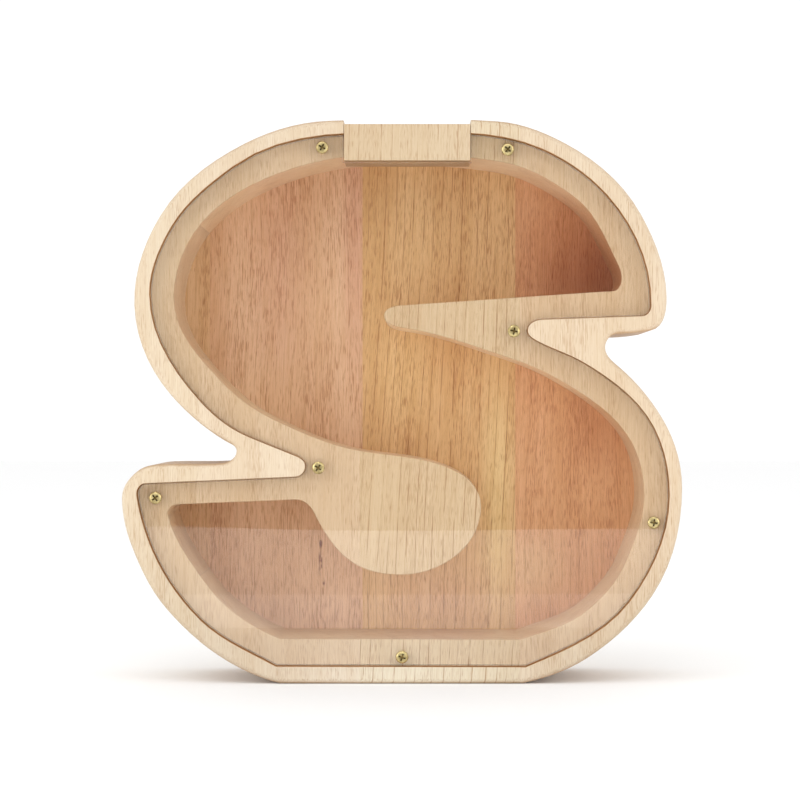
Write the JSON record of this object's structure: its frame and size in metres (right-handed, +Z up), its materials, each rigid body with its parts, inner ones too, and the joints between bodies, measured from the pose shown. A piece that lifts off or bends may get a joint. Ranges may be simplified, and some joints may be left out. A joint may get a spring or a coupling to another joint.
{
  "type": "money box",
  "caption": "Wooden money box shaped as a capital letter S, hollowed from the front behind a clear screwed-on window, with a coin slot in the top.",
  "frame": {"origin": "middle of the flat foot, on the surface that the box stands on", "axes": "+Z up, -Y out of the front with the window, +X to the right seen from the front"},
  "size_m": [0.1994, 0.045, 0.2009],
  "materials": {
    "body_wood": "fine-sanded hardwood under a thin satin lacquer, upright grain with short dark pores",
    "block_wood": "fine-sanded hardwood, satin, sharp sawn edges",
    "clear_window": "clear polished acrylic sheet with laser-cut edges",
    "screw_brass": "bright brass plating, cross recess"
  },
  "bodies": {
    "wooden_body": {"left_edge_stave_upper": "body_wood", "left_edge_stave_lower": "body_wood", "left_stave": "body_wood", "centre_stave": "body_wood", "right_stave": "body_wood", "slot_block": "block_wood"},
    "window": {"front_window": "clear_window"},
    "screw_top_left": {"screw_top_left": "screw_brass"},
    "screw_top_right": {"screw_top_right": "screw_brass"},
    "screw_middle_right": {"screw_middle_right": "screw_brass"},
    "screw_middle_left": {"screw_middle_left": "screw_brass"},
    "screw_left": {"screw_left": "screw_brass"},
    "screw_right": {"screw_right": "screw_brass"},
    "screw_bottom": {"screw_bottom": "screw_brass"}
  },
  "joints": [
    {"name": "window_lift_off", "type": "slide", "parent": "wooden_body", "child": "window", "axis": [0, -1, 0], "range_m": [0, 0.06]},
    {"name": "screw_top_left_draw_out", "type": "slide", "parent": "window", "child": "screw_top_left", "axis": [0, -1, 0], "range_m": [0, 0.018]},
    {"name": "screw_top_right_draw_out", "type": "slide", "parent": "window", "child": "screw_top_right", "axis": [0, -1, 0], "range_m": [0, 0.018]},
    {"name": "screw_middle_right_draw_out", "type": "slide", "parent": "window", "child": "screw_middle_right", "axis": [0, -1, 0], "range_m": [0, 0.018]},
    {"name": "screw_middle_left_draw_out", "type": "slide", "parent": "window", "child": "screw_middle_left", "axis": [0, -1, 0], "range_m": [0, 0.018]},
    {"name": "screw_left_draw_out", "type": "slide", "parent": "window", "child": "screw_left", "axis": [0, -1, 0], "range_m": [0, 0.018]},
    {"name": "screw_right_draw_out", "type": "slide", "parent": "window", "child": "screw_right", "axis": [0, -1, 0], "range_m": [0, 0.018]},
    {"name": "screw_bottom_draw_out", "type": "slide", "parent": "window", "child": "screw_bottom", "axis": [0, -1, 0], "range_m": [0, 0.018]}
  ]
}
